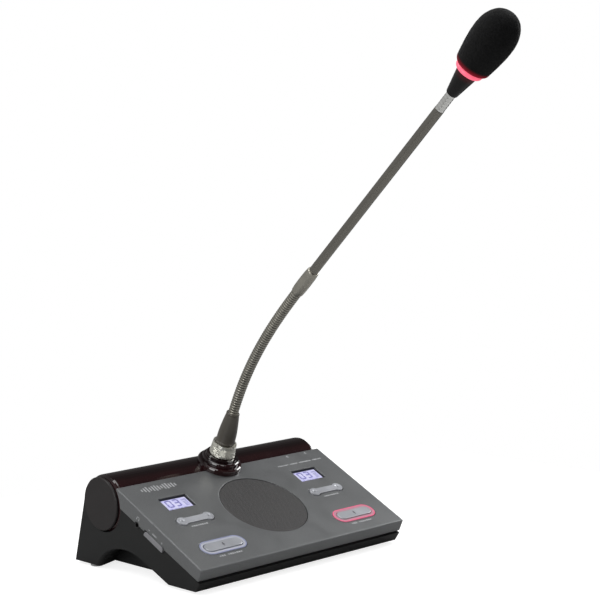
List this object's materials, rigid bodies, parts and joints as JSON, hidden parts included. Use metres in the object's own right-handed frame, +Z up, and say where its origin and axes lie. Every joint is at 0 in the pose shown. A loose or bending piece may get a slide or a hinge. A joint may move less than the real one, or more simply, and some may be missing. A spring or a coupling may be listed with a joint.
{
  "type": "gooseneck desk microphone",
  "caption": "Desktop conference microphone: a wedge base with loudspeaker, talk buttons and side volume keys, and a plug-in gooseneck with a foam-covered head and light ring.",
  "frame": {"origin": "on the table, under the middle of the bounding box of the whole unit", "axes": "+X to the talker's right, -Y towards the talker, +Z up"},
  "size_m": [0.2048, 0.3517, 0.3923],
  "materials": {
    "battery_wrap": "satin",
    "black_plastic": "matt, fine texture",
    "boot_rubber": "satin",
    "bright_flex": "polished, ribbed",
    "button_plastic": "satin, silver-grey",
    "cap_plastic": "matt",
    "capsule_metal": "satin",
    "circuit_board": "satin",
    "collar_nickel": "satin, knurled",
    "display_body": "matt",
    "display_glass": "polished",
    "flex_metal": "satin, ribbed",
    "foam": "open foam",
    "grille_metal": "matt, perforated",
    "head_plastic": "satin",
    "jack_plastic": "satin",
    "panel_metal": "satin",
    "ring_lit": "translucent, lit",
    "ring_unlit": "clear, silvery",
    "rubber": "matt",
    "screw_steel": "satin",
    "socket_nickel": "satin",
    "speaker_paper": "matt",
    "speaker_steel": "satin",
    "stem_metal": "satin, dark",
    "volume_plastic": "satin",
    "window_plastic": "polished, dark red-black"
  },
  "bodies": {
    "base": {"battery_pack": "battery_wrap", "bottom_cover": "black_plastic", "control_board_left": "circuit_board", "control_board_right": "circuit_board", "cover_screw_1": "screw_steel", "cover_screw_2": "screw_steel", "cover_screw_3": "screw_steel", "cover_screw_4": "screw_steel", "display_lens_left": "display_glass", "display_lens_right": "display_glass", "display_module_left": "display_body", "display_module_right": "display_body", "end_cap_left": "cap_plastic", "end_cap_right": "cap_plastic", "headphone_jack_left": "jack_plastic", "headphone_jack_right": "jack_plastic", "ir_board": "circuit_board", "ir_window_tube": "window_plastic", "lower_housing": "black_plastic", "main_board": "circuit_board", "mic_light_ring_left": "ring_unlit", "mic_light_ring_right": "ring_lit", "rubber_foot_1": "rubber", "rubber_foot_2": "rubber", "rubber_foot_3": "rubber", "rubber_foot_4": "rubber", "socket_barrel": "socket_nickel", "socket_flange": "window_plastic", "socket_insert": "jack_plastic", "speaker_cone": "speaker_paper", "speaker_frame": "speaker_steel", "speaker_grille": "grille_metal", "speaker_magnet": "speaker_steel", "top_panel": "panel_metal", "volume_switch_left": "jack_plastic", "volume_switch_right": "jack_plastic"},
    "mic_button_left": {"mic_button_left": "button_plastic"},
    "mic_button_right": {"mic_button_right": "button_plastic"},
    "channel_key_left": {"channel_key_left": "button_plastic"},
    "channel_key_right": {"channel_key_right": "button_plastic"},
    "volume_key_left": {"volume_key_left": "volume_plastic"},
    "volume_key_right": {"volume_key_right": "volume_plastic"},
    "mic_foot": {"mic_plug": "socket_nickel", "flex_boot": "boot_rubber"},
    "lock_collar": {"lock_collar": "collar_nickel"},
    "flex_1": {"flex_link_1": "flex_metal"},
    "flex_2": {"flex_link_2": "flex_metal"},
    "flex_3": {"flex_link_3": "flex_metal"},
    "flex_4": {"flex_link_4": "flex_metal"},
    "flex_5": {"flex_link_5": "flex_metal"},
    "flex_6": {"flex_link_6": "flex_metal"},
    "stem": {"coupling_sleeve": "flex_metal", "stem_tube": "stem_metal"},
    "upper_link": {"upper_flex_link": "bright_flex"},
    "head": {"head_cone": "head_plastic", "led_ring": "ring_lit", "capsule_housing": "head_plastic", "capsule": "capsule_metal"},
    "windscreen": {"windscreen": "foam"}
  },
  "joints": [
    {"name": "mic_button_left_press", "type": "slide", "parent": "base", "child": "mic_button_left", "axis": [0, 0.4352, -0.9003], "range_m": [0, 0.0008], "stiffness_N_per_m": 1000, "springref_m": -0.0004},
    {"name": "channel_key_left_tip", "type": "hinge", "parent": "base", "child": "channel_key_left", "pos_m": [-0.0662, 0.07549, 0.03969], "axis": [0, 0.9003, 0.4352], "range_deg": [-3, 3], "stiffness_Nm_per_rad": 0.5},
    {"name": "volume_key_left_tip", "type": "hinge", "parent": "base", "child": "volume_key_left", "pos_m": [-0.0996, 0.07864, 0.0311], "axis": [0, -0.4352, 0.9003], "range_deg": [-3, 3], "stiffness_Nm_per_rad": 0.5},
    {"name": "mic_button_right_press", "type": "slide", "parent": "base", "child": "mic_button_right", "axis": [0, 0.4352, -0.9003], "range_m": [0, 0.0008], "stiffness_N_per_m": 1000, "springref_m": -0.0004},
    {"name": "channel_key_right_tip", "type": "hinge", "parent": "base", "child": "channel_key_right", "pos_m": [0.0662, 0.07549, 0.03969], "axis": [0, 0.9003, 0.4352], "range_deg": [-3, 3], "stiffness_Nm_per_rad": 0.5},
    {"name": "volume_key_right_tip", "type": "hinge", "parent": "base", "child": "volume_key_right", "pos_m": [0.0996, 0.07864, 0.0311], "axis": [0, -0.4352, 0.9003], "range_deg": [-3, 3], "stiffness_Nm_per_rad": 0.5},
    {"name": "mic_unplug", "type": "slide", "parent": "base", "child": "mic_foot", "axis": [0, -0.4067, 0.9135], "range_m": [0, 0.03]},
    {"name": "collar_turn", "type": "hinge", "parent": "mic_foot", "child": "lock_collar", "pos_m": [0, 0.11718, 0.08174], "axis": [0, -0.4067, 0.9135], "range_deg": [0, 360]},
    {"name": "neck_bend_1", "type": "hinge", "parent": "mic_foot", "child": "flex_1", "pos_m": [0, 0.10368, 0.11207], "axis": [1, 0, 0], "range_deg": [-17, 10.5]},
    {"name": "neck_sway_2", "type": "hinge", "parent": "flex_1", "child": "flex_2", "pos_m": [0, 0.0948, 0.12887], "axis": [0, 0.8842, 0.4672], "range_deg": [-15, 15]},
    {"name": "neck_bend_3", "type": "hinge", "parent": "flex_2", "child": "flex_3", "pos_m": [0, 0.08451, 0.14485], "axis": [1, 0, 0], "range_deg": [-17, 10.5]},
    {"name": "neck_sway_4", "type": "hinge", "parent": "flex_3", "child": "flex_4", "pos_m": [0, 0.07305, 0.16], "axis": [0, 0.7974, 0.6034], "range_deg": [-15, 15]},
    {"name": "neck_bend_5", "type": "hinge", "parent": "flex_4", "child": "flex_5", "pos_m": [0, 0.06062, 0.17437], "axis": [1, 0, 0], "range_deg": [-17, 10.5]},
    {"name": "neck_sway_6", "type": "hinge", "parent": "flex_5", "child": "flex_6", "pos_m": [0, 0.04741, 0.18803], "axis": [0, 0.7189, 0.6951], "range_deg": [-15, 15]},
    {"name": "neck_bend_7", "type": "hinge", "parent": "flex_6", "child": "stem", "pos_m": [0, 0.0336, 0.20108], "axis": [1, 0, 0], "range_deg": [-17, 10.5]},
    {"name": "head_nod", "type": "hinge", "parent": "stem", "child": "upper_link", "pos_m": [0, -0.11228, 0.33197], "axis": [1, 0, 0], "range_deg": [-25, 25]},
    {"name": "head_turn", "type": "hinge", "parent": "upper_link", "child": "head", "pos_m": [0, -0.11965, 0.33874], "axis": [0, 0.6762, 0.7367], "range_deg": [-25, 25]},
    {"name": "windscreen_pull", "type": "slide", "parent": "head", "child": "windscreen", "axis": [0, -0.729, 0.6845], "range_m": [0, 0.035]}
  ],
  "couplings": [
    {"joint": "neck_bend_3", "follows": "neck_bend_1", "ratio": 1},
    {"joint": "neck_sway_4", "follows": "neck_sway_2", "ratio": 1},
    {"joint": "neck_bend_5", "follows": "neck_bend_1", "ratio": 1},
    {"joint": "neck_sway_6", "follows": "neck_sway_2", "ratio": 1},
    {"joint": "neck_bend_7", "follows": "neck_bend_1", "ratio": 1}
  ]
}
